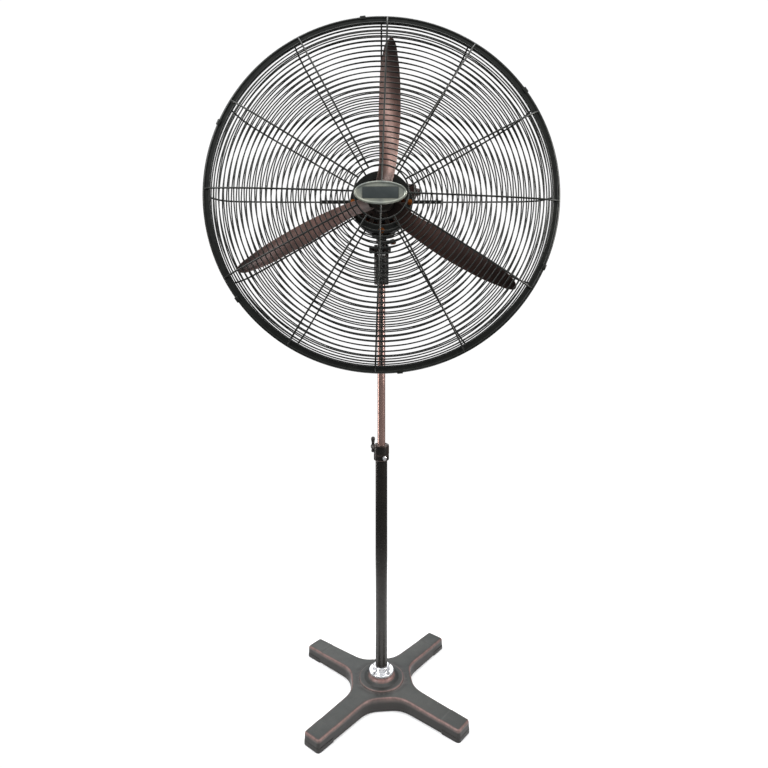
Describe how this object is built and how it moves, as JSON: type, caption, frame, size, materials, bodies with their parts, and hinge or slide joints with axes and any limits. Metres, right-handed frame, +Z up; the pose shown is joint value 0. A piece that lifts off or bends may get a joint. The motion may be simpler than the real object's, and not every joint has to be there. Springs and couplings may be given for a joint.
{
  "type": "pedestal fan",
  "caption": "Oscillating pedestal fan: wire-guarded three-blade head on a telescoping pole with a heavy cross-shaped cast base.",
  "frame": {"origin": "on the floor, on the pole's axis under the centre of the base", "axes": "+Z up along the pole, the fan blows towards -Y, +X to the right as seen from the front"},
  "size_m": [0.8102, 0.4196, 1.6482],
  "materials": {
    "cast_bronze": "dark bronze powder coat rubbed to copper along the edges",
    "bronze_tube": "dark bronze enamel, satin",
    "inner_tube_finish": "antiqued bronze enamel with a light copper streak",
    "guard_wire": "near-black enamel over welded wire",
    "blade_finish": "brown bronze enamel, satin",
    "motor_finish": "dark bronze enamel, satin",
    "polished_metal": "polished",
    "bright_steel": "turned, lightly oiled",
    "copper_bolt": "copper-coloured plating",
    "badge_metal": "satin, plain",
    "winding_copper": "enamelled copper wire",
    "laminations": "stacked electrical steel",
    "pad_rubber": "dark moulded rubber",
    "black_plastic": "moulded, fine texture"
  },
  "bodies": {
    "base": {"base_casting": "cast_bronze", "foot_pad_front_left": "pad_rubber", "foot_pad_front_right": "pad_rubber", "foot_pad_rear_left": "pad_rubber", "foot_pad_rear_right": "pad_rubber", "pole_flange": "polished_metal", "flange_screw_1": "bright_steel", "flange_screw_2": "bright_steel", "flange_screw_3": "bright_steel", "flange_screw_4": "bright_steel", "outer_tube": "bronze_tube", "tube_bush": "black_plastic", "clamp_collar": "bronze_tube", "collar_screw": "polished_metal"},
    "height_lock": {"height_lock_handle": "black_plastic"},
    "column": {"inner_tube": "inner_tube_finish", "tube_glide": "black_plastic", "neck_fork": "bronze_tube", "tilt_bolt": "bright_steel"},
    "tilt_lock": {"tilt_lock_knob": "black_plastic"},
    "neck": {"neck_block": "bronze_tube", "swing_spindle": "bright_steel", "link_anchor_pin": "bright_steel"},
    "head": {"motor_shell": "motor_finish", "motor_front_cover": "motor_finish", "motor_rear_cover": "motor_finish", "front_bearing": "bright_steel", "rear_bearing": "bright_steel", "stator_core": "laminations", "stator_winding_front": "winding_copper", "stator_winding_rear": "winding_copper", "swing_saddle": "motor_finish", "gearbox_housing": "motor_finish", "cable_gland": "black_plastic", "switch_box": "black_plastic", "capacitor": "black_plastic", "rear_guard": "guard_wire", "front_guard": "guard_wire", "badge": "badge_metal", "guard_bolt_1": "copper_bolt", "guard_bolt_2": "copper_bolt", "guard_bolt_3": "copper_bolt", "guard_bolt_4": "copper_bolt", "rim_clip_1": "guard_wire", "rim_clip_2": "guard_wire", "rim_clip_3": "guard_wire", "rim_clip_4": "guard_wire", "rim_clip_5": "guard_wire", "rim_clip_6": "guard_wire"},
    "impeller": {"motor_shaft": "bright_steel", "rotor_core": "laminations", "blade_hub": "blade_finish", "blade_1": "blade_finish", "blade_2": "blade_finish", "blade_3": "blade_finish", "hub_nut": "polished_metal"},
    "crank": {"crank_gear": "bright_steel"},
    "link": {"oscillation_link": "bright_steel"},
    "speed_control": {"speed_knob": "black_plastic"},
    "swing_control": {"oscillation_knob": "black_plastic"}
  },
  "joints": [
    {"name": "height_slide", "type": "slide", "parent": "base", "child": "column", "axis": [0, 0, 1], "range_m": [-0.37, 0.06]},
    {"name": "height_lock_turn", "type": "hinge", "parent": "base", "child": "height_lock", "pos_m": [-0.0218, 0.03113, 0.616], "axis": [-0.5736, 0.8191, 0], "range_deg": [0, 270]},
    {"name": "head_tilt", "type": "hinge", "parent": "column", "child": "neck", "pos_m": [0, 0, 1.127], "axis": [-1, 0, 0], "range_deg": [-10, 35]},
    {"name": "tilt_lock_turn", "type": "hinge", "parent": "column", "child": "tilt_lock", "pos_m": [-0.024, 0, 1.127], "axis": [-1, 0, 0], "range_deg": [0, 270]},
    {"name": "head_swing", "type": "hinge", "parent": "neck", "child": "head", "pos_m": [0, 0, 1.15], "axis": [0, 0, 1], "range_deg": [-38, 38]},
    {"name": "crank_turn", "type": "hinge", "parent": "head", "child": "crank", "pos_m": [0.004, 0.086, 1.1562], "axis": [0, 0, 1], "range_deg": [-46, 46]},
    {"name": "link_pivot", "type": "hinge", "parent": "crank", "child": "link", "pos_m": [0.03, 0.086, 1.151], "axis": [0, 0, 1], "range_deg": [-46, 46]},
    {"name": "blade_spin", "type": "hinge", "parent": "head", "child": "impeller", "pos_m": [0, 0, 1.24], "axis": [0, 1, 0], "continuous": true},
    {"name": "speed_knob_turn", "type": "hinge", "parent": "head", "child": "speed_control", "pos_m": [0.09, 0.008, 1.276], "axis": [1, 0, 0], "range_deg": [0, 180]},
    {"name": "swing_knob_pull", "type": "slide", "parent": "head", "child": "swing_control", "axis": [0, 0, 1], "range_m": [0, 0.005]}
  ],
  "couplings": [
    {"joint": "crank_turn", "follows": "head_swing", "ratio": -1.192},
    {"joint": "link_pivot", "follows": "head_swing", "ratio": 1.192}
  ]
}
